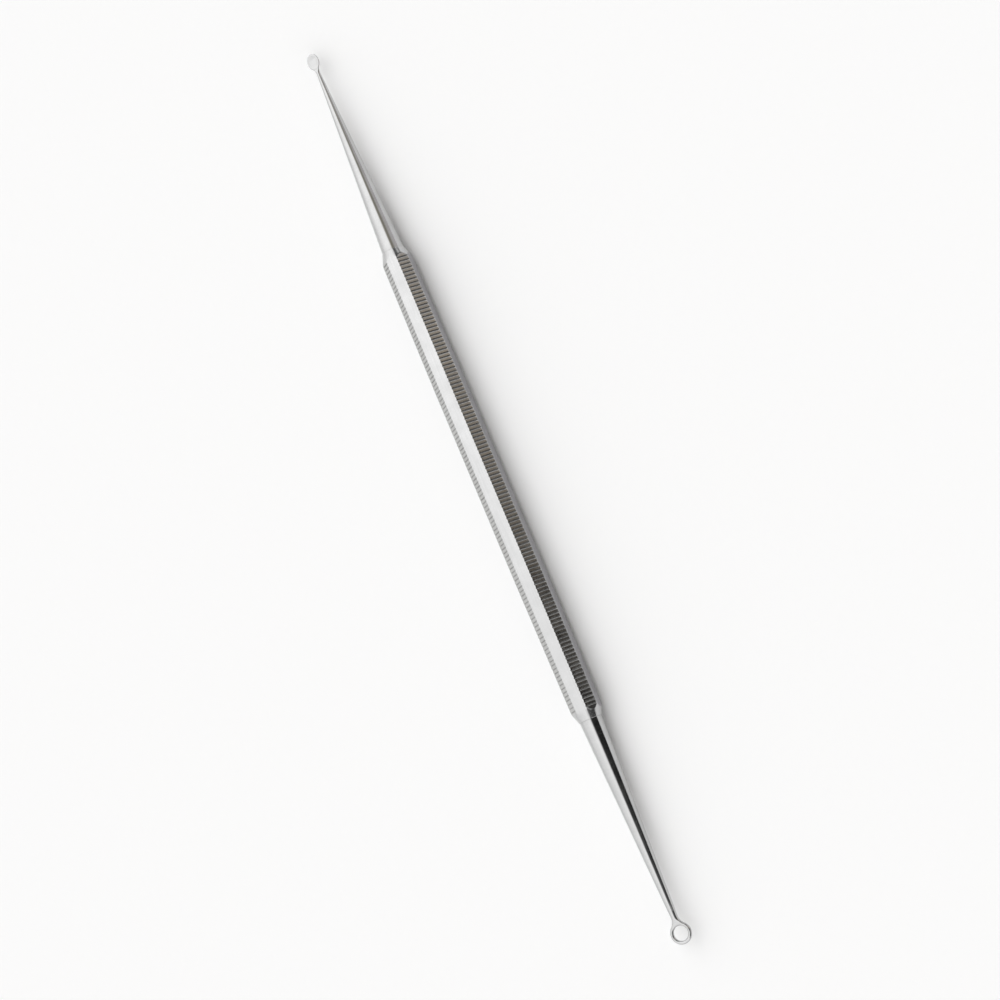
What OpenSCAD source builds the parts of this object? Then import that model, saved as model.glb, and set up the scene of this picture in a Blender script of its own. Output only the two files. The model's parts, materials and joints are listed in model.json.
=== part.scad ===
// Double-ended blackhead extractor: a knurled octagonal handle with a loop on one end
// and a small scoop on the other. Each working end is a turned shank whose tang is
// soldered into a socket in the handle.
// The tool lies along X, scoop towards +X and loop towards -X, on one plain flat of the
// handle. Its origin is under the middle of its overall length, on the surface it lies on.

/* [Handle] */
// Length of the handle from end face to end face
handle_l = 73.8; // [50:0.1:120]
// Width across flats in the middle of the handle
handle_af = 4.5; // [4.3:0.05:10]
// Width across flats at the ends, where the flats are ground a little lower
handle_end_af = 4.25; // [4:0.05:4.5]
// Length of the middle stretch where opposite flats run parallel
handle_parallel_l = 30; // [10:1:44]
// Diameter of the round end faces
collar_d = 3.5; // [3.4:0.05:4]
// Length of the cone from an end face up to the corners of the octagon
collar_l = 1.6; // [0.8:0.1:4]

/* [Knurling] */
// Distance from one cross groove to the next
knurl_pitch = 0.6; // [0.5:0.05:1.5]
// Width of a groove at the surface
knurl_w = 0.3; // [0.15:0.01:0.4]
// Depth of a groove
knurl_depth = 0.07; // [0.04:0.01:0.2]
// Plain length left at each end of the handle
knurl_margin = 1.5; // [1.2:0.1:10]

/* [Sockets and tangs] */
// Diameter of the tang on each working end
tang_d = 2.2; // [1.5:0.1:2.6]
// Length of each tang
tang_l = 12; // [6:0.5:20]
// Chamfer on the tip of a tang
tang_chamfer = 0.3; // [0.1:0.05:0.5]
// Room for solder all round a tang
solder_gap = 0.03; // [0.01:0.01:0.08]
// Air space left between the tip of a tang and the bottom of its socket
socket_relief = 0.6; // [0.2:0.1:3]

/* [Shanks] */
// Diameter of a shank where it leaves the handle
shank_root_d = 3.35; // [2.8:0.05:3.4]
// Length of the shank that carries the scoop
scoop_shank_l = 30; // [15:0.5:60]
// Diameter of that shank where the scoop begins
scoop_neck_d = 0.52; // [0.4:0.02:0.54]
// Length of the shank that carries the loop
loop_shank_l = 30.5; // [15:0.5:60]
// Diameter of that shank where the loop begins
loop_neck_d = 0.96; // [0.7:0.02:1.2]

/* [Loop] */
// Outer diameter of the loop
loop_od = 3.2; // [2.9:0.05:6]
// Diameter of the hole in the loop
loop_id = 2.1; // [1.2:0.05:2.2]
// Thickness of the loop
loop_t = 0.6; // [0.4:0.05:0.65]
// Rounding of the loop's outer edges
loop_round = 0.2; // [0.05:0.01:0.2]
// Bevel round both rims of the hole
loop_bevel = 0.1; // [0.03:0.01:0.12]
// Radius of the hollow curves where the shank spreads into the loop
flare_r = 1; // [0.6:0.1:1.6]

/* [Scoop] */
// Length of the scoop
scoop_l = 2.5; // [2:0.1:5]
// Width of the scoop
scoop_w = 1.9; // [1.5:0.05:3]
// Height of the scoop from its rim to its underside
scoop_h = 0.6; // [0.55:0.05:1]
// Width of the flat rim round the bowl
rim_w = 0.22; // [0.15:0.01:0.3]
// Depth of the bowl below the rim
bowl_depth = 0.12; // [0.1:0.02:0.4]
// Height of the rim above the middle of the shank
rim_lift = 0.28; // [0.27:0.01:0.35]

/* [Hidden] */
$fn = 64;

// Cutters and stock reach this far past the faces they cut
spare = 1;
flats = 8;
// Turn from one flat to the next, about the tool's length
flat_step = 360 / flats;
handle_corner_r = handle_af / 2 / cos(flat_step / 2);
end_corner_r = handle_end_af / 2 / cos(flat_step / 2);

total_l = loop_od + loop_shank_l + handle_l + scoop_shank_l + scoop_l;
axis_z = handle_af / 2;
loop_face_x = -total_l / 2 + loop_od + loop_shank_l;
scoop_face_x = loop_face_x + handle_l;
handle_mid_x = (loop_face_x + scoop_face_x) / 2;
loop_x = -total_l / 2 + loop_od / 2;
scoop_x = total_l / 2 - scoop_l / 2;

socket_d = tang_d + 2 * solder_gap;
socket_l = tang_l + socket_relief;
// Height of the drill point at the bottom of a socket
drill_point = socket_d / 2 * tan(31);

groove_count = floor((handle_l - 2 * knurl_margin - knurl_w) / knurl_pitch) + 1;

// Half the width across flats at the distance x from the middle of the handle
function half_af(x) =
    let (ground_l = (handle_l - handle_parallel_l) / 2)
    let (along = max(0, abs(x) - handle_parallel_l / 2) / ground_l)
    (handle_af + (handle_end_af - handle_af) * along) / 2;

// Places along the handle where a plain flat changes its slope or ends
plain_x = [
    -handle_l / 2 - spare,
    -handle_parallel_l / 2,
    handle_parallel_l / 2,
    handle_l / 2 + spare
];
plain_line = [for (x = plain_x) [x, half_af(x)]];

function groove_x(i) = (i - (groove_count - 1) / 2) * knurl_pitch;
function groove(x) = [
    [x - knurl_w / 2, half_af(x - knurl_w / 2)],
    [x, half_af(x) - knurl_depth],
    [x + knurl_w / 2, half_af(x + knurl_w / 2)]
];
knurled_line = concat(
    [plain_line[0]],
    [for (i = [0 : groove_count - 1]) each groove(groove_x(i))],
    [plain_line[3]]
);

// Two opposite flats, both shaped along the handle by one line, turned about its length
module flat_pair(line, turn) {
    below = [for (i = [len(line) - 1 : -1 : 0]) [line[i][0], -line[i][1]]];
    rotate([turn, 0, 0])
        rotate([90, 0, 0])
            linear_extrude(2 * (handle_corner_r + spare), center = true)
                polygon(concat(line, below));
}

// Round envelope of the handle, which gives it its end faces and end cones
module handle_envelope() {
    cone_slope = (end_corner_r - collar_d / 2) / collar_l;
    outer_r = handle_corner_r + spare;
    cone_l = (outer_r - collar_d / 2) / cone_slope;
    half_l = handle_l / 2;
    rotate([0, 90, 0])
        rotate_extrude()
            polygon([
                [0, -half_l],
                [collar_d / 2, -half_l],
                [outer_r, -half_l + cone_l],
                [outer_r, half_l - cone_l],
                [collar_d / 2, half_l],
                [0, half_l]
            ]);
}

// Drilled socket that opens at the origin and runs towards +X
module socket() {
    rotate([0, 90, 0]) {
        translate([0, 0, -spare])
            cylinder(h = socket_l + spare, d = socket_d);
        translate([0, 0, socket_l])
            cylinder(h = drill_point, d1 = socket_d, d2 = 0);
    }
}

module handle() {
    color("silver")
    translate([handle_mid_x, 0, axis_z])
    difference() {
        intersection() {
            flat_pair(plain_line, 0);
            flat_pair(plain_line, 2 * flat_step);
            handle_envelope();
            flat_pair(knurled_line, flat_step);
            flat_pair(knurled_line, 3 * flat_step);
        }
        translate([-handle_l / 2, 0, 0])
            socket();
        translate([handle_l / 2, 0, 0])
            mirror([1, 0, 0])
                socket();
    }
}

// Shank towards +X from its shoulder at the origin, with its tang towards -X
module shank(length, neck_d) {
    tip_d = tang_d - 2 * tang_chamfer;
    rotate([0, 90, 0])
        rotate_extrude()
            polygon([
                [0, -tang_l],
                [tip_d / 2, -tang_l],
                [tang_d / 2, -tang_l + tang_chamfer],
                [tang_d / 2, 0],
                [shank_root_d / 2, 0],
                [neck_d / 2, length],
                [0, length]
            ]);
}

// Disc of the loop before its hole is cut, with rounded outer edges
module loop_disc() {
    edge_r = loop_od / 2 - loop_round;
    edge_z = loop_t / 2 - loop_round;
    rotate_extrude()
        polygon(concat(
            [[0, -loop_t / 2]],
            [for (a = [-90 : 15 : 0]) [edge_r + loop_round * cos(a), -edge_z + loop_round * sin(a)]],
            [for (a = [0 : 15 : 90]) [edge_r + loop_round * cos(a), edge_z + loop_round * sin(a)]],
            [[0, loop_t / 2]]
        ));
}

// Web that spreads from the shank into the loop; each side is a hollow curve that is
// tangent to the side of the neck and to the loop, and the web is as round as the neck
// where it leaves it. The loop is centred on the origin and the shank comes from +X.
module loop_flare() {
    curve_y = loop_neck_d / 2 + flare_r;
    curve_x = sqrt(pow(loop_od / 2 + flare_r, 2) - pow(curve_y, 2));
    meet_angle = atan2(curve_y, curve_x);
    side = [
        for (a = [180 + meet_angle : (90 - meet_angle) / 8 : 270.01])
            [curve_x + flare_r * cos(a), curve_y + flare_r * sin(a)]
    ];
    other_side = [for (i = [len(side) - 1 : -1 : 0]) [side[i][0], -side[i][1]]];
    intersection() {
        linear_extrude(loop_t, center = true)
            polygon(concat([[0, 0]], side, other_side));
        rotate([0, 90, 0])
            rotate_extrude()
                polygon(concat([[0, 0]], [for (p = side) [p[1], p[0]]], [[0, curve_x]]));
    }
}

// The shank's last stretch thins down to the thickness of the loop inside its ring
module neck_end() {
    ring_w = (loop_od - loop_id) / 2;
    rotate([0, 90, 0])
        cylinder(h = ring_w, d1 = loop_t, d2 = loop_neck_d);
}

module loop_hole() {
    bevel_r = loop_id / 2 + loop_bevel;
    cylinder(h = loop_t + 2 * spare, d = loop_id, center = true);
    for (side = [0, 1])
        mirror([0, 0, side])
            translate([0, 0, loop_t / 2 - loop_bevel])
                cylinder(h = spare, r1 = loop_id / 2, r2 = loop_id / 2 + spare);
}

module loop_end() {
    color("gainsboro")
    translate([0, 0, axis_z]) {
        difference() {
            union() {
                translate([loop_face_x, 0, 0])
                    mirror([1, 0, 0])
                        shank(loop_shank_l, loop_neck_d);
                translate([loop_x + loop_id / 2, 0, 0])
                    neck_end();
                translate([loop_x, 0, 0]) {
                    loop_disc();
                    loop_flare();
                }
            }
            translate([loop_x, 0, 0])
                loop_hole();
        }
    }
}

// Spheroid whose cut at the height of the origin is l long and w wide, and which
// reaches depth below that cut
module dished_form(l, w, depth) {
    round_r = (w * w / 4 + depth * depth) / (2 * depth);
    half_l = l * round_r / w;
    translate([0, 0, round_r - depth])
        rotate([0, 90, 0])
            rotate_extrude()
                polygon([for (a = [-90 : 7.5 : 90]) [round_r * cos(a), half_l * sin(a)]]);
}

module scoop_end() {
    rim_z = axis_z + rim_lift;
    color("gainsboro")
    difference() {
        union() {
            translate([scoop_face_x, 0, axis_z])
                shank(scoop_shank_l + rim_w, scoop_neck_d);
            intersection() {
                translate([scoop_x, 0, rim_z])
                    dished_form(scoop_l, scoop_w, scoop_h);
                translate([scoop_x - scoop_l, -scoop_w, 0])
                    cube([2 * scoop_l, 2 * scoop_w, rim_z]);
            }
        }
        translate([scoop_x, 0, rim_z])
            dished_form(scoop_l - 2 * rim_w, scoop_w - 2 * rim_w, bowl_depth);
    }
}

handle();
loop_end();
scoop_end();
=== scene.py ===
import json
import math
import random

import bmesh
import bpy
from mathutils import Matrix, Vector


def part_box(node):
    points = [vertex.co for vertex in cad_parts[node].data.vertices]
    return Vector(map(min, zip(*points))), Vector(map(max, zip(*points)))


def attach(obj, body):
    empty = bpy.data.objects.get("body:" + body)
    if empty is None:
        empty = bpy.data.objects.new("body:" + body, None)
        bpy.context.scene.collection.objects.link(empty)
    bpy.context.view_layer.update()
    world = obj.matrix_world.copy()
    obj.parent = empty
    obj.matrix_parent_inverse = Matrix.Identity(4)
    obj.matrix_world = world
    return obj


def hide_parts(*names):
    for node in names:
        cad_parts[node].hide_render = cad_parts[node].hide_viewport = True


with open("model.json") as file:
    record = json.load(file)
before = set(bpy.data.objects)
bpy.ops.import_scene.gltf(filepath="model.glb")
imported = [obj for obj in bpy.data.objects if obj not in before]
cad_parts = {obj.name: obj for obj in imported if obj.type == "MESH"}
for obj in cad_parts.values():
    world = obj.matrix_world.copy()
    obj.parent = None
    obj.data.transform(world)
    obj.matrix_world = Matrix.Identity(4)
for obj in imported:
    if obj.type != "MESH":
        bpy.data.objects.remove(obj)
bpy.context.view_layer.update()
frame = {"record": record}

MM = 0.001

# Sizes that the frame gives
handle_low, handle_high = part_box("handle")
loop_low, loop_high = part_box("loop_end")
_, scoop_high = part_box("scoop_end")
mounts = {m["name"]: m for m in frame["record"]["mounts"]}
HANDLE_MID = (handle_low.x + handle_high.x) / 2
HANDLE_L = handle_high.x - handle_low.x
HANDLE_AF = handle_high.z - handle_low.z
AXIS_Z = HANDLE_AF / 2
LOOP_X = mounts["loop_hole"]["pos_m"][0]
LOOP_HOLE_R = mounts["loop_hole"]["dims"]["r_mm"] * MM
LOOP_R = LOOP_X - loop_low.x
SHANK_ROOT_R = (loop_high.z - loop_low.z) / 2

# Sizes that part.scad holds too
HANDLE_END_AF = 4.25 * MM
PARALLEL_L = 30 * MM
COLLAR_R = 1.75 * MM
COLLAR_L = 1.6 * MM
KNURL_PITCH = 0.6 * MM
KNURL_W = 0.3 * MM
KNURL_DEPTH = 0.07 * MM
KNURL_MARGIN = 1.5 * MM
TANG_R = 1.1 * MM
TANG_L = 12 * MM
TANG_CHAMFER = 0.3 * MM
SOCKET_R = TANG_R + 0.03 * MM
SOCKET_L = 12.6 * MM
DRILL_POINT = SOCKET_R * math.tan(math.radians(31))
LOOP_T = 0.6 * MM
LOOP_NECK_R = 0.48 * MM
SCOOP_L = 2.5 * MM
SCOOP_W = 1.9 * MM
SCOOP_H = 0.6 * MM
SCOOP_NECK_R = 0.26 * MM
RIM_LIFT = 0.28 * MM
RIM_W = 0.22 * MM
BOWL_DEPTH = 0.12 * MM
SCOOP_X = scoop_high.x - SCOOP_L / 2

FLATS = 8
FLAT_STEP = 2 * math.pi / FLATS
# Numbers of the two upright plain flats, counted from the top one towards -Y
SIDE_FLATS = (2, 6)


# Meshes

def mesh_object(name, bm, sharp_degrees=30):
    """Turns a bmesh into a smooth-shaded object whose edges past the given angle stay sharp."""
    bmesh.ops.recalc_face_normals(bm, faces=bm.faces)
    mesh = bpy.data.meshes.new(name)
    bm.to_mesh(mesh)
    bm.free()
    mesh.shade_smooth()
    mesh.set_sharp_from_angle(angle=math.radians(sharp_degrees))
    obj = bpy.data.objects.new(name, mesh)
    bpy.context.scene.collection.objects.link(obj)
    return obj


def add_ring(bm, points):
    return [bm.verts.new(p) for p in points]


def join_rings(bm, ring_a, ring_b):
    """Quads between two closed rings of the same number of vertices."""
    count = len(ring_a)
    for i in range(count):
        j = (i + 1) % count
        bm.faces.new((ring_a[i], ring_a[j], ring_b[j], ring_b[i]))


def close_ring(bm, ring, point):
    """A fan from a ring to one point."""
    tip = bm.verts.new(point)
    for i, vert in enumerate(ring):
        bm.faces.new((vert, ring[(i + 1) % len(ring)], tip))


def circle_yz(x, radius, angles):
    """Points on a circle round the tool's axis; angles run from +Y towards +Z."""
    return [(x, radius * math.cos(a), AXIS_Z + radius * math.sin(a)) for a in angles]


# Handle

CORNER_ROUND = 0.1 * MM
EDGE_BREAK = 0.02 * MM
# Points on each rounded corner and inside each flat
ARC_POINTS = 5
FLAT_POINTS = 5
# Steps between an end of the handle and its first groove
COLLAR_RINGS = 16
# Places across a groove as shares of its width, each with its share of the groove's depth
GROOVE_SECTION = ((-0.5, 0.0), (-0.06, 0.9), (0.06, 0.9), (0.5, 0.0))
# Least and most depth of a worn groove, as shares of KNURL_DEPTH
GROOVE_WEAR = (0.86, 1.06)
WEAR_SEED = 11
# Edges of the handle that turn more than this many degrees stay sharp
HANDLE_SHARP = 16
# A face belongs to a flat if it lies less than this share of a step from the flat's middle
FLAT_SHARE = 0.46
# Places of the knurled material and of the side flats' darker material, which paints shade on
# them, in the handle's list; the plain one is 0
KNURLED_SLOT = 1
SIDE_SHADE_SLOT = 2


def half_af(x):
    """Half the width across flats at the distance x from the middle of the handle."""
    ground_l = (HANDLE_L - PARALLEL_L) / 2
    along = max(0, abs(x) - PARALLEL_L / 2) / ground_l
    return (HANDLE_AF + (HANDLE_END_AF - HANDLE_AF) * along) / 2


def envelope_r(x):
    """Radius of the end cones at the distance x from the middle of the handle."""
    end_corner_r = HANDLE_END_AF / 2 / math.cos(FLAT_STEP / 2)
    slope = (end_corner_r - COLLAR_R) / COLLAR_L
    from_end = HANDLE_L / 2 - abs(x)
    return min(COLLAR_R + from_end * slope, COLLAR_R - EDGE_BREAK + from_end)


def octagon(x, depths):
    """Section of the handle: rounded corners, flats with inner points, clipped to the end cones.

    depths holds how far each flat lies below its full height. Flat 0 faces +Z, and the
    next ones follow towards -Y."""
    apothem = [half_af(x) - d for d in depths]
    limit = envelope_r(x)
    points = []
    for k in range(FLATS):
        a, b = k * FLAT_STEP, (k + 1) * FLAT_STEP
        ra, rb = apothem[k] - CORNER_ROUND, apothem[(k + 1) % FLATS] - CORNER_ROUND
        # Centre of the corner's rounding: it lies ra along a and rb along b
        across = (rb - ra * math.cos(FLAT_STEP)) / math.sin(FLAT_STEP)
        centre = Vector((
            ra * math.cos(a) - across * math.sin(a),
            ra * math.sin(a) + across * math.cos(a),
        ))
        for i in range(ARC_POINTS):
            turn = a + (b - a) * i / (ARC_POINTS - 1)
            points.append(centre + CORNER_ROUND * Vector((math.cos(turn), math.sin(turn))))
    ring = []
    for k in range(FLATS):
        arc = points[k * ARC_POINTS:(k + 1) * ARC_POINTS]
        following = points[(k + 1) * ARC_POINTS % len(points)]
        ring += arc
        for i in range(FLAT_POINTS):
            ring.append(arc[-1].lerp(following, (i + 1) / (FLAT_POINTS + 1)))
    placed = []
    for p in ring:
        if p.length > limit:
            p = p.normalized() * limit
        placed.append((HANDLE_MID + x, -p.y, AXIS_Z + p.x))
    return placed


def groove_stations():
    """Distances from the middle of the handle, each with its share of the groove's depth and
    the number of the groove."""
    count = int((HANDLE_L - 2 * KNURL_MARGIN - KNURL_W) / KNURL_PITCH) + 1
    stations = []
    for i in range(count):
        x = (i - (count - 1) / 2) * KNURL_PITCH
        stations += [(x + KNURL_W * offset, share, i) for offset, share in GROOVE_SECTION]
    return stations


def make_handle():
    """Knurled octagonal bar with broken edges, worn grooves and a drilled socket in each end."""
    bm = bmesh.new()
    rng = random.Random(WEAR_SEED)
    knurled = [k % 2 == 1 for k in range(FLATS)]
    half_l = HANDLE_L / 2
    first_groove = groove_stations()[0][0]
    plain = [0.0] * FLATS
    collar = [half_l, half_l - EDGE_BREAK, half_l - 1.5 * EDGE_BREAK]
    collar += [
        half_l - (half_l + first_groove) * i / COLLAR_RINGS for i in range(1, COLLAR_RINGS)
    ]
    rings = [add_ring(bm, octagon(-x, plain)) for x in collar]
    wear = {}
    for x, share, i in groove_stations():
        if i not in wear:
            wear[i] = [rng.uniform(*GROOVE_WEAR) for _ in range(FLATS)]
        depths = [KNURL_DEPTH * share * wear[i][k] if knurled[k] else 0.0 for k in range(FLATS)]
        rings.append(add_ring(bm, octagon(x, depths)))
    rings += [add_ring(bm, octagon(x, plain)) for x in reversed(collar)]
    for ring_a, ring_b in zip(rings, rings[1:]):
        join_rings(bm, ring_a, ring_b)
    for ring, side in ((rings[0], -1), (rings[-1], 1)):
        angles = [math.atan2(v.co.z - AXIS_Z, v.co.y) for v in ring]
        end_x = HANDLE_MID + side * half_l
        mouth = add_ring(bm, circle_yz(end_x, SOCKET_R, angles))
        bottom = add_ring(bm, circle_yz(end_x - side * SOCKET_L, SOCKET_R, angles))
        join_rings(bm, ring, mouth)
        join_rings(bm, mouth, bottom)
        close_ring(bm, bottom, (end_x - side * (SOCKET_L + DRILL_POINT), 0, AXIS_Z))
    obj = mesh_object("octagonal_handle", bm, sharp_degrees=HANDLE_SHARP)
    paint_handle(obj, knurled)
    return obj


def place_by_flat(point):
    """Where a point on the handle lies: the number of the flat that it faces, its turn away
    from the middle of that flat, its depth below the flat and its distance from the axis."""
    radial = Vector((point.z - AXIS_Z, -point.y))
    turn = math.atan2(radial.y, radial.x) % (2 * math.pi)
    k = round(turn / FLAT_STEP) % FLATS
    off = abs((turn - k * FLAT_STEP + math.pi) % (2 * math.pi) - math.pi)
    normal = Vector((math.cos(k * FLAT_STEP), math.sin(k * FLAT_STEP)))
    below = half_af(point.x - HANDLE_MID) - radial.dot(normal)
    return k, off, below, radial.length


def paint_handle(obj, knurled):
    """Materials of the knurled flats and of the side flats, whose darker colour is painted
    shade, and a groove depth on every vertex, which the knurled material turns into painted
    shade in the grooves.
    """
    mesh = obj.data
    depth = mesh.attributes.new("groove", "FLOAT", "POINT")
    for vert in mesh.vertices:
        k, off, below, radius = place_by_flat(vert.co)
        depth.data[vert.index].value = min(1, max(0, below / KNURL_DEPTH)) if knurled[k] else 0
    knurled_half_l = HANDLE_L / 2 - KNURL_MARGIN
    outside_socket_r = SOCKET_R * 1.2
    for poly in mesh.polygons:
        k, off, below, radius = place_by_flat(poly.center)
        if off > FLAT_STEP * FLAT_SHARE or radius < outside_socket_r:
            continue
        if knurled[k] and abs(poly.center.x - HANDLE_MID) < knurled_half_l:
            poly.material_index = KNURLED_SLOT
        # The upright side flats take the darker material: shade painted on them
        elif k in SIDE_FLATS and below < EDGE_BREAK:
            poly.material_index = SIDE_SHADE_SLOT


# Working ends

SMOOTH_LEVELS = 2
# Edges of the tips and shanks that turn more than this many degrees stay sharp
TIP_SHARP = 38
# A tip's outline narrows to the round neck faster than its height does, by this power
NECK_PULL = 1.5
# Straight stretch of the neck that is smoothed together with the tip
NECK_TAIL = 1.2 * MM
TAIL_RINGS = 3
SHANK_RINGS = 24


def cage_growth(columns):
    """How much larger a ring's cage is, because smoothing pulls it in."""
    return 3 / (2 + math.cos(2 * math.pi / columns))


def grid_body(bm, rows, columns, hole_rows, hole_columns, wrap_rows):
    """Faces between rows of vertices, with an opening for the neck.

    Returns the opening's vertices, starting at its top corner on the -Y side, in the order
    top edge, +Y side, bottom edge, -Y side. hole_rows is (top row, bottom row)."""
    count = len(rows)
    top, bottom = hole_rows
    first, last = hole_columns
    low, high = min(top, bottom), max(top, bottom)
    for r in range(count if wrap_rows else count - 1):
        for c in range(columns):
            if low <= r < high and first <= c < last:
                continue
            r2, c2 = (r + 1) % count, (c + 1) % columns
            bm.faces.new((rows[r][c], rows[r][c2], rows[r2][c2], rows[r2][c]))
    step = 1 if bottom > top else -1
    between = list(range(top + step, bottom, step))
    return (
        [rows[top][c] for c in range(first, last + 1)]
        + [rows[r][last] for r in between]
        + [rows[bottom][c] for c in range(last, first - 1, -1)]
        + [rows[r][first] for r in reversed(between)]
    )


def neck_angles(opening, top_count):
    """Even angles round the neck for the opening's vertices, the top edge centred on +Z."""
    step = 2 * math.pi / opening
    return [math.pi / 2 + ((top_count - 1) / 2 - i) * step for i in range(opening)]


def add_neck(bm, opening, top_count, neck_x, neck_r, root_slope, shares):
    """Loops that flow from an opening in a body at the origin into a round neck along +X."""
    angles = neck_angles(len(opening), top_count)
    start = [v.co.copy() for v in opening]
    loops = [opening]
    for share in shares:
        pull = 1 - (1 - share) ** NECK_PULL
        ring = []
        for p, a in zip(start, angles):
            x = p.x + (neck_x - p.x) * share
            y = p.y + (neck_r * math.cos(a) - p.y) * pull
            z = p.z + (neck_r * math.sin(a) - p.z) * share
            ring.append((x, y, z))
        loops.append(add_ring(bm, ring))
    for i in range(1, TAIL_RINGS + 1):
        x = neck_x + NECK_TAIL * i / TAIL_RINGS
        r = neck_r + root_slope * NECK_TAIL * i / TAIL_RINGS
        loops.append(add_ring(bm, [(x, r * math.cos(a), r * math.sin(a)) for a in angles]))
    for loop_a, loop_b in zip(loops, loops[1:]):
        join_rings(bm, loop_a, loop_b)


def smoothed(bm, levels):
    """The bmesh after Catmull-Clark subdivision."""
    bmesh.ops.recalc_face_normals(bm, faces=bm.faces)
    mesh = bpy.data.meshes.new("cage")
    bm.to_mesh(mesh)
    bm.free()
    cage = bpy.data.objects.new("cage", mesh)
    bpy.context.scene.collection.objects.link(cage)
    modifier = cage.modifiers.new("smooth", "SUBSURF")
    modifier.levels = levels
    modifier.render_levels = levels
    evaluated = cage.evaluated_get(bpy.context.evaluated_depsgraph_get())
    result = bmesh.new()
    result.from_mesh(evaluated.to_mesh())
    evaluated.to_mesh_clear()
    bpy.data.objects.remove(cage)
    bpy.data.meshes.remove(mesh)
    return result


def add_shank(bm, place, shank_x, slope):
    """Moves a smoothed tip to its place and runs its open neck on as the shank and tang.

    shank_x is the shoulder's place along the tool, and slope is how fast the shank thins."""
    bmesh.ops.transform(bm, matrix=place, verts=bm.verts)
    rim = [v for v in bm.verts if any(e.is_boundary for e in v.link_edges)]
    rim.sort(key=lambda v: math.atan2(v.co.z - AXIS_Z, v.co.y))
    angles = [math.atan2(v.co.z - AXIS_Z, v.co.y) for v in rim]
    rim_x = sum(v.co.x for v in rim) / len(rim)
    side = 1 if rim_x > shank_x else -1

    def radius_at(x):
        return SHANK_ROOT_R - slope * abs(x - shank_x)

    for vert, p in zip(rim, circle_yz(rim_x, radius_at(rim_x), angles)):
        vert.co = p
    ring = rim
    along = [rim_x + (shank_x - rim_x) * i / SHANK_RINGS for i in range(1, SHANK_RINGS)]
    along.append(shank_x + side * EDGE_BREAK)
    stations = [(x, radius_at(x)) for x in along]
    stations += [
        (shank_x, SHANK_ROOT_R - EDGE_BREAK),
        (shank_x, TANG_R),
        (shank_x - side * (TANG_L - TANG_CHAMFER), TANG_R),
        (shank_x - side * TANG_L, TANG_R - TANG_CHAMFER),
    ]
    for x, radius in stations:
        following = add_ring(bm, circle_yz(x, radius, angles))
        join_rings(bm, ring, following)
        ring = following
    close_ring(bm, ring, (shank_x - side * TANG_L, 0, AXIS_Z))


def make_loop_end():
    """Round loop with softened edges that flows into its shank."""
    columns = 32
    opening_columns = 6
    grow = cage_growth(columns)
    inner, outer = LOOP_HOLE_R * grow, LOOP_R * grow
    # Heights of the cage at the upright sides of the ring and on its faces
    side_z = LOOP_T / 2 * 0.42
    face_z = LOOP_T / 2 * 1.06
    face_inner, face_outer = inner + 0.16 * MM, outer - 0.17 * MM
    section = (
        (inner, -side_z), (inner, side_z), (face_inner, face_z), (face_outer, face_z),
        (outer, side_z), (outer, -side_z), (face_outer, -face_z), (face_inner, -face_z),
    )
    turns = [(c - opening_columns // 2) * 2 * math.pi / columns for c in range(columns)]
    bm = bmesh.new()
    rows = []
    for r, z in section:
        rows.append(add_ring(bm, [(r * math.cos(t), r * math.sin(t), z) for t in turns]))
    opening = grid_body(bm, rows, columns, (3, 6), (0, opening_columns), wrap_rows=True)
    shank_x = handle_low.x
    neck_x = LOOP_R + 0.62 * MM
    shank_l = shank_x - LOOP_X - LOOP_R
    slope = (SHANK_ROOT_R - LOOP_NECK_R) / shank_l
    neck_r = LOOP_NECK_R + slope * (neck_x - LOOP_R)
    shares = (0.22, 0.48, 0.76, 1.0)
    add_neck(bm, opening, opening_columns + 1, neck_x, neck_r, slope, shares)
    bm = smoothed(bm, SMOOTH_LEVELS)
    place = Matrix.Translation((LOOP_X, 0, AXIS_Z))
    add_shank(bm, place, shank_x, slope)
    return mesh_object("loop_and_shank", bm, sharp_degrees=TIP_SHARP)


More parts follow.
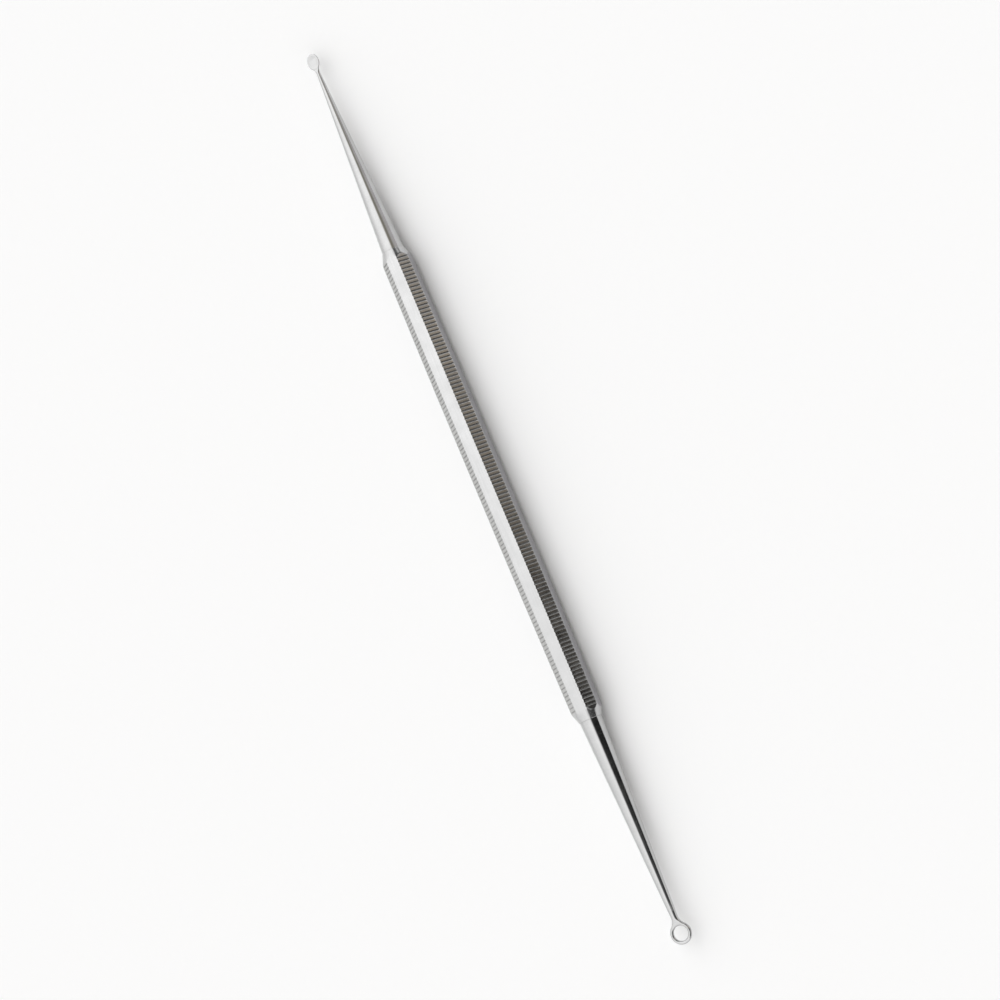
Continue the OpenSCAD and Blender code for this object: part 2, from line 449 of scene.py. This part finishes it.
def make_scoop_end():
    """Tiny oval scoop with a shallow bowl that flows into its shank."""
    columns = 24
    opening_columns = 4
    grow = cage_growth(columns)
    half_l, half_w = SCOOP_L / 2 * grow, SCOOP_W / 2 * grow
    # The rim's inner edge as a share of the outline
    inner = 1 - RIM_W / (SCOOP_W / 2)
    # Each row is a share of the outline and a depth below the rim, from the underside
    # round the edge and into the bowl
    section = (
        (0.22, SCOOP_H), (0.5, SCOOP_H * 0.93), (0.76, SCOOP_H * 0.74), (0.93, SCOOP_H * 0.47),
        (1.0, SCOOP_H * 0.25), (0.995, SCOOP_H * 0.1), (0.95, SCOOP_H * 0.02), (0.88, 0.0),
        (inner + 0.03, 0.0), (inner - 0.02, BOWL_DEPTH * 0.1), (inner * 0.84, BOWL_DEPTH * 0.36),
        (inner * 0.56, BOWL_DEPTH * 0.72), (inner * 0.25, BOWL_DEPTH * 0.96),
    )
    turns = [(c - opening_columns // 2) * 2 * math.pi / columns for c in range(columns)]
    bm = bmesh.new()
    rows = [
        add_ring(bm, [
            (half_l * s * math.cos(t), half_w * s * math.sin(t), RIM_LIFT - depth) for t in turns
        ])
        for s, depth in section
    ]
    opening = grid_body(bm, rows, columns, (5, 2), (0, opening_columns), wrap_rows=False)
    close_ring(bm, rows[0], (0, 0, RIM_LIFT - SCOOP_H * 1.01))
    close_ring(bm, rows[-1], (0, 0, RIM_LIFT - BOWL_DEPTH * 1.03))
    shank_x = handle_high.x
    web_l = 0.5 * MM
    neck_x = SCOOP_L / 2 + web_l
    shank_l = SCOOP_X - SCOOP_L / 2 - shank_x
    slope = (SHANK_ROOT_R - SCOOP_NECK_R) / shank_l
    neck_r = SCOOP_NECK_R + slope * web_l
    shares = (0.25, 0.6, 1.0)
    add_neck(bm, opening, opening_columns + 1, neck_x, neck_r, slope, shares)
    bm = smoothed(bm, SMOOTH_LEVELS)
    # The tip is built with its neck along +X; half a turn points the neck back to the handle
    place = Matrix.Translation((SCOOP_X, 0, AXIS_Z)) @ Matrix.Rotation(math.pi, 4, "Z")
    add_shank(bm, place, shank_x, slope)
    return mesh_object("scoop_and_shank", bm, sharp_degrees=TIP_SHARP)


# Materials

# How fine the noise of each kind is, per metre
CLOUD_SCALE = 420.0
SPECK_SCALE = 5200.0
GRAIN_SCALE = 900.0
LENGTHWISE = (160.0, 9000.0, 9000.0)
ROUND_THE_SHANK = (14000.0, 500.0, 500.0)
SCRATCH_DEPTH = 0.004 * MM
SPECK_DEPTH = 0.002 * MM
# Shade painted into the grooves: its colour, how much of the steel it hides and how dull it
# makes the grooves
GROOVE_SHADE_COLOUR = (0.11, 0.11, 0.105)
GROOVE_SHADE_COVER = 0.65
GROOVE_DULLNESS = 0.15
FLOOR_COLOUR = (0.955, 0.955, 0.955)
FLOOR_COLOUR_B = (0.965, 0.965, 0.965)


class Nodes:
    """Short way to add and link shader nodes."""

    def __init__(self, tree):
        self.tree = tree
        tree.nodes.clear()

    def add(self, kind, **settings):
        node = self.tree.nodes.new(kind)
        for key, value in settings.items():
            setattr(node, key, value)
        return node

    def link(self, source, target):
        self.tree.links.new(source, target)

    def math(self, operation, a, b=None):
        node = self.add("ShaderNodeMath", operation=operation)
        for socket, value in zip(node.inputs, (a, b)):
            if value is None:
                continue
            if isinstance(value, (int, float)):
                socket.default_value = value
            else:
                self.link(value, socket)
        return node.outputs[0]

    def noise(self, vector, scale, detail=3.0, roughness=0.5):
        node = self.add("ShaderNodeTexNoise")
        node.inputs["Scale"].default_value = scale
        node.inputs["Detail"].default_value = detail
        node.inputs["Roughness"].default_value = roughness
        self.link(vector, node.inputs["Vector"])
        return node.outputs["Fac"]

    def stretch(self, vector, scale):
        node = self.add("ShaderNodeMapping")
        node.inputs["Scale"].default_value = scale
        self.link(vector, node.inputs["Vector"])
        return node.outputs["Vector"]

    def ramp(self, value, stops):
        """stops holds pairs of a place from 0 to 1 and a grey or a colour."""
        node = self.add("ShaderNodeValToRGB")
        elements = node.color_ramp.elements
        while len(elements) < len(stops):
            elements.new(0.5)
        for element, (place, colour) in zip(elements, stops):
            element.position = place
            if isinstance(colour, (int, float)):
                colour = (colour,) * 3
            element.color = (*colour, 1)
        self.link(value, node.inputs["Fac"])
        return node.outputs["Color"]

    def range(self, value, low, high):
        """A value from 0 to 1 spread from low to high."""
        node = self.add("ShaderNodeMapRange")
        node.inputs["To Min"].default_value = low
        node.inputs["To Max"].default_value = high
        self.link(value, node.inputs["Value"])
        return node.outputs["Result"]

    def fade(self, value, start, end):
        """A value that eases from 0 at start to 1 at end."""
        node = self.add("ShaderNodeMapRange", interpolation_type="SMOOTHSTEP")
        node.inputs["From Min"].default_value = start
        node.inputs["From Max"].default_value = end
        self.link(value, node.inputs["Value"])
        return node.outputs["Result"]

    def mix(self, factor, a, b):
        node = self.add("ShaderNodeMix", data_type="RGBA")
        self.link(factor, node.inputs["Factor"])
        for socket, value in ((node.inputs["A"], a), (node.inputs["B"], b)):
            if isinstance(value, tuple):
                socket.default_value = (*value, 1)
            else:
                self.link(value, socket)
        return node.outputs["Result"]

    def bump(self, height, strength, distance, normal=None):
        node = self.add("ShaderNodeBump")
        node.inputs["Strength"].default_value = strength
        node.inputs["Distance"].default_value = distance
        self.link(height, node.inputs["Height"])
        if normal is not None:
            self.link(normal, node.inputs["Normal"])
        return node.outputs["Normal"]


def steel(name, light, dark, smooth, rough, scratch_scale, scratch_strength, groove=False):
    """Stainless steel with fine scratches, a little cloudiness and, on request, grooves darkened
    with painted shade.

    light and dark are the limits of its colour; smooth and rough are the limits of its
    roughness; scratch_scale stretches the scratches along the tool or round it."""
    material = bpy.data.materials.new(name)
    material.use_nodes = True
    n = Nodes(material.node_tree)
    output = n.add("ShaderNodeOutputMaterial")
    shader = n.add("ShaderNodeBsdfPrincipled")
    n.link(shader.outputs["BSDF"], output.inputs["Surface"])
    shader.inputs["Metallic"].default_value = 1.0
    place = n.add("ShaderNodeTexCoord").outputs["Object"]
    scratches = n.noise(n.stretch(place, scratch_scale), 1.0, detail=5.0, roughness=0.65)
    clouds = n.noise(place, CLOUD_SCALE, detail=3.0)
    specks = n.noise(place, SPECK_SCALE, detail=2.0)
    worn = n.math("MULTIPLY", n.math("ADD", scratches, clouds), 0.5)
    colour = n.mix(n.ramp(worn, ((0.36, 0.0), (0.64, 1.0))), dark, light)
    polish = n.range(n.ramp(worn, ((0.38, 1.0), (0.62, 0.0))), smooth, rough)
    if groove:
        # Darkening by groove depth: painted shade in the grooves, which also get rougher
        depth = n.add("ShaderNodeAttribute", attribute_name="groove").outputs["Fac"]
        groove_shade_mask = n.ramp(depth, ((0.1, 0.0), (0.75, 1.0)))
        colour = n.mix(n.math("MULTIPLY", groove_shade_mask, GROOVE_SHADE_COVER), colour, GROOVE_SHADE_COLOUR)
        polish = n.math("ADD", polish, n.math("MULTIPLY", groove_shade_mask, GROOVE_DULLNESS))
    n.link(colour, shader.inputs["Base Color"])
    n.link(polish, shader.inputs["Roughness"])
    normal = n.bump(scratches, scratch_strength, SCRATCH_DEPTH)
    normal = n.bump(specks, scratch_strength * 0.5, SPECK_DEPTH, normal)
    n.link(normal, shader.inputs["Normal"])
    return material


def floor_material():
    """Pale matt floor with a faint grain."""
    material = bpy.data.materials.new("pale_floor")
    material.use_nodes = True
    n = Nodes(material.node_tree)
    output = n.add("ShaderNodeOutputMaterial")
    shader = n.add("ShaderNodeBsdfPrincipled")
    n.link(shader.outputs["BSDF"], output.inputs["Surface"])
    shader.inputs["Roughness"].default_value = 0.9
    shader.inputs["Specular IOR Level"].default_value = 0.1
    place = n.add("ShaderNodeTexCoord").outputs["Object"]
    grain = n.noise(place, GRAIN_SCALE, detail=2.0)
    n.link(n.mix(grain, FLOOR_COLOUR, FLOOR_COLOUR_B), shader.inputs["Base Color"])
    return material


# Studio

FLOOR_HALF = 6.0
WORLD_STRENGTH = 1.555
# Brightness of the room by direction round the tool's length: degrees from straight up,
# towards -Y when positive. Past 20 degrees lies the dark side of the room.
BRIGHT_LOOP_SIDE = (
    (-180, 0.50), (-92, 0.62), (-62, 0.78), (-34, 0.83), (-18, 0.88), (4, 0.93), (12, 0.81),
)
BRIGHT_SCOOP_SIDE = ((-180, 0.50), (-92, 0.62), (-62, 0.85), (-34, 1.0), (10, 1.0))
FAR_LOOP_END = BRIGHT_LOOP_SIDE + ((22, 0.85), (54, 0.85), (64, 0.03), (88, 0.03))
PAST_LOOP_END = BRIGHT_LOOP_SIDE + ((24, 0.04), (84, 0.03), (94, 0.34))
NEAR_LOOP_END = BRIGHT_LOOP_SIDE + ((24, 0.28), (58, 0.28), (68, 0.03), (84, 0.03), (94, 0.34))
LOOP_SIDE = BRIGHT_LOOP_SIDE + ((23, 0.04), (32, 0.008), (84, 0.012), (94, 0.34))
SCOOP_SIDE = BRIGHT_SCOOP_SIDE + (
    (24, (0.22, 0.195, 0.155)),
    (34, (0.15, 0.13, 0.10)),
    (60, (0.19, 0.163, 0.125)),
    (74, (0.35, 0.30, 0.245)),
    (90, (0.47, 0.42, 0.43)),
)
NEAR_SCOOP_END = BRIGHT_SCOOP_SIDE + (
    (24, (0.23, 0.22, 0.18)),
    (38, (0.18, 0.17, 0.14)),
    (54, (0.42, 0.41, 0.41)),
    (90, (0.48, 0.47, 0.49)),
)
PAST_SCOOP_END = BRIGHT_SCOOP_SIDE + (
    (24, (0.25, 0.24, 0.21)),
    (40, (0.27, 0.26, 0.23)),
    (56, (0.38, 0.37, 0.36)),
    (76, (0.34, 0.33, 0.32)),
    (90, (0.46, 0.45, 0.48)),
)
BEYOND_SCOOP_END = BRIGHT_SCOOP_SIDE + ((24, 0.06), (80, 0.04), (92, 0.12))
FAR_SCOOP_END = BRIGHT_SCOOP_SIDE + (
    (24, 0.07), (50, 0.07), (62, 0.62), (74, 0.62), (82, 0.10), (92, 0.10),
)
# The room from its far end past the loop to the one past the scoop. Each part fades in
# between two values of the direction's X.
ROOM = (
    (-0.70, -0.64, PAST_LOOP_END),
    (-0.47, -0.38, NEAR_LOOP_END),
    (-0.16, -0.06, LOOP_SIDE),
    (0.115, 0.205, SCOOP_SIDE),
    (0.30, 0.335, NEAR_SCOOP_END),
    (0.37, 0.43, PAST_SCOOP_END),
    (0.49, 0.57, BEYOND_SCOOP_END),
    (0.73, 0.78, FAR_SCOOP_END),
)
# The room's two end walls and a strip all round it, just above the floor, are pale. The
# walls fade in between two lengths of the direction's X, and the strip between two of its Z.
PALE_WALL = (0.62, 0.62, 0.62)
END_WALLS = (0.88, 0.95)
SKIRTING = (0.055, 0.025)


def make_world():
    """The lit room round the tool, as colours by direction."""
    world = bpy.data.worlds.new("studio")
    bpy.context.scene.world = world
    world.use_nodes = True
    n = Nodes(world.node_tree)
    output = n.add("ShaderNodeOutputWorld")
    background = n.add("ShaderNodeBackground")
    background.inputs["Strength"].default_value = WORLD_STRENGTH
    n.link(background.outputs["Background"], output.inputs["Surface"])
    direction = n.add("ShaderNodeSeparateXYZ")
    n.link(n.add("ShaderNodeTexCoord").outputs["Generated"], direction.inputs["Vector"])
    towards = n.math("MULTIPLY", direction.outputs["Y"], -1.0)
    turn = n.math("ARCTAN2", towards, direction.outputs["Z"])
    share = n.math("ADD", n.math("DIVIDE", turn, 2 * math.pi), 0.5)

    def ramp_round(stops):
        return n.ramp(share, [((degrees + 180) / 360, colour) for degrees, colour in stops])

    colour = ramp_round(FAR_LOOP_END)
    for start, end, stops in ROOM:
        colour = n.mix(n.fade(direction.outputs["X"], start, end), colour, ramp_round(stops))
    end_wall = n.fade(n.math("ABSOLUTE", direction.outputs["X"]), *END_WALLS)
    skirting = n.fade(direction.outputs["Z"], *SKIRTING)
    colour = n.mix(n.math("MAXIMUM", end_wall, skirting), colour, PALE_WALL)
    n.link(colour, background.inputs["Color"])


def make_floor():
    bm = bmesh.new()
    bmesh.ops.create_grid(bm, x_segments=2, y_segments=2, size=FLOOR_HALF)
    floor = mesh_object("floor", bm)
    floor.data.materials.append(floor_material())


# The camera looks down on the tool, leaning from straight up to the -Y side and tilted a
# little towards the loop's end. It aims at a point beside the middle of the tool.
CAMERA_LEAN = math.radians(20.5)
CAMERA_TILT = math.radians(9.5)
CAMERA_DISTANCE = 0.3573
CAMERA_LENS = 90.0
AIM_X = -2.44 * MM
AIM_ASIDE = 0.21 * MM
# Direction in the picture of the tool's length towards the loop: across and up
ALONG_PICTURE = Vector((0.3887, -0.9214))


def make_camera():
    over = Vector((0, -math.sin(CAMERA_LEAN), math.cos(CAMERA_LEAN)))
    aside = Vector((0, -math.cos(CAMERA_LEAN), -math.sin(CAMERA_LEAN)))
    to_loop = Vector((-1, 0, 0))
    back = over * math.cos(CAMERA_TILT) + to_loop * math.sin(CAMERA_TILT)
    along = to_loop * math.cos(CAMERA_TILT) - over * math.sin(CAMERA_TILT)
    right = along * ALONG_PICTURE.x - aside * ALONG_PICTURE.y
    up = along * ALONG_PICTURE.y + aside * ALONG_PICTURE.x
    aim = Vector((AIM_X, 0, AXIS_Z)) + aside * AIM_ASIDE
    data = bpy.data.cameras.new("camera")
    data.sensor_width = 36.0
    data.lens = CAMERA_LENS
    data.clip_start = 0.01
    data.clip_end = 20.0
    camera = bpy.data.objects.new("camera", data)
    bpy.context.scene.collection.objects.link(camera)
    turn = Matrix((right, up, back)).transposed().to_4x4()
    camera.matrix_world = Matrix.Translation(aim + back * CAMERA_DISTANCE) @ turn
    bpy.context.scene.camera = camera


def dress(obj, node, materials):
    """Gives a piece its materials and puts it in the place of a node."""
    for material in materials:
        obj.data.materials.append(material)
    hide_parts(node)
    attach(obj, "root")


make_camera()
bpy.context.scene.view_settings.view_transform = "Standard"
make_world()
make_floor()

plain_steel = steel(
    "plain_flats", (0.56, 0.56, 0.56), (0.51, 0.51, 0.51), 0.14, 0.24, LENGTHWISE, 0.25,
)
knurled_steel = steel(
    "knurled_flats", (0.53, 0.53, 0.525), (0.46, 0.46, 0.45), 0.14, 0.24, LENGTHWISE, 0.25,
    groove=True,
)
# Darker, faintly lavender colour on the two upright side flats: painted shade, standing in for
# the darker reflection of the shadowed floor beside them
side_steel_painted_shade = steel(
    "side_flats_painted_shade", (0.39, 0.382, 0.40), (0.30, 0.294, 0.308), 0.16, 0.30, LENGTHWISE, 0.35,
)
polished_steel = steel(
    "polished_shanks", (0.54, 0.54, 0.54), (0.49, 0.49, 0.49), 0.11, 0.19, ROUND_THE_SHANK, 0.12,
)

dress(make_handle(), "handle", (plain_steel, knurled_steel, side_steel_painted_shade))
dress(make_loop_end(), "loop_end", (polished_steel,))
dress(make_scoop_end(), "scoop_end", (polished_steel,))
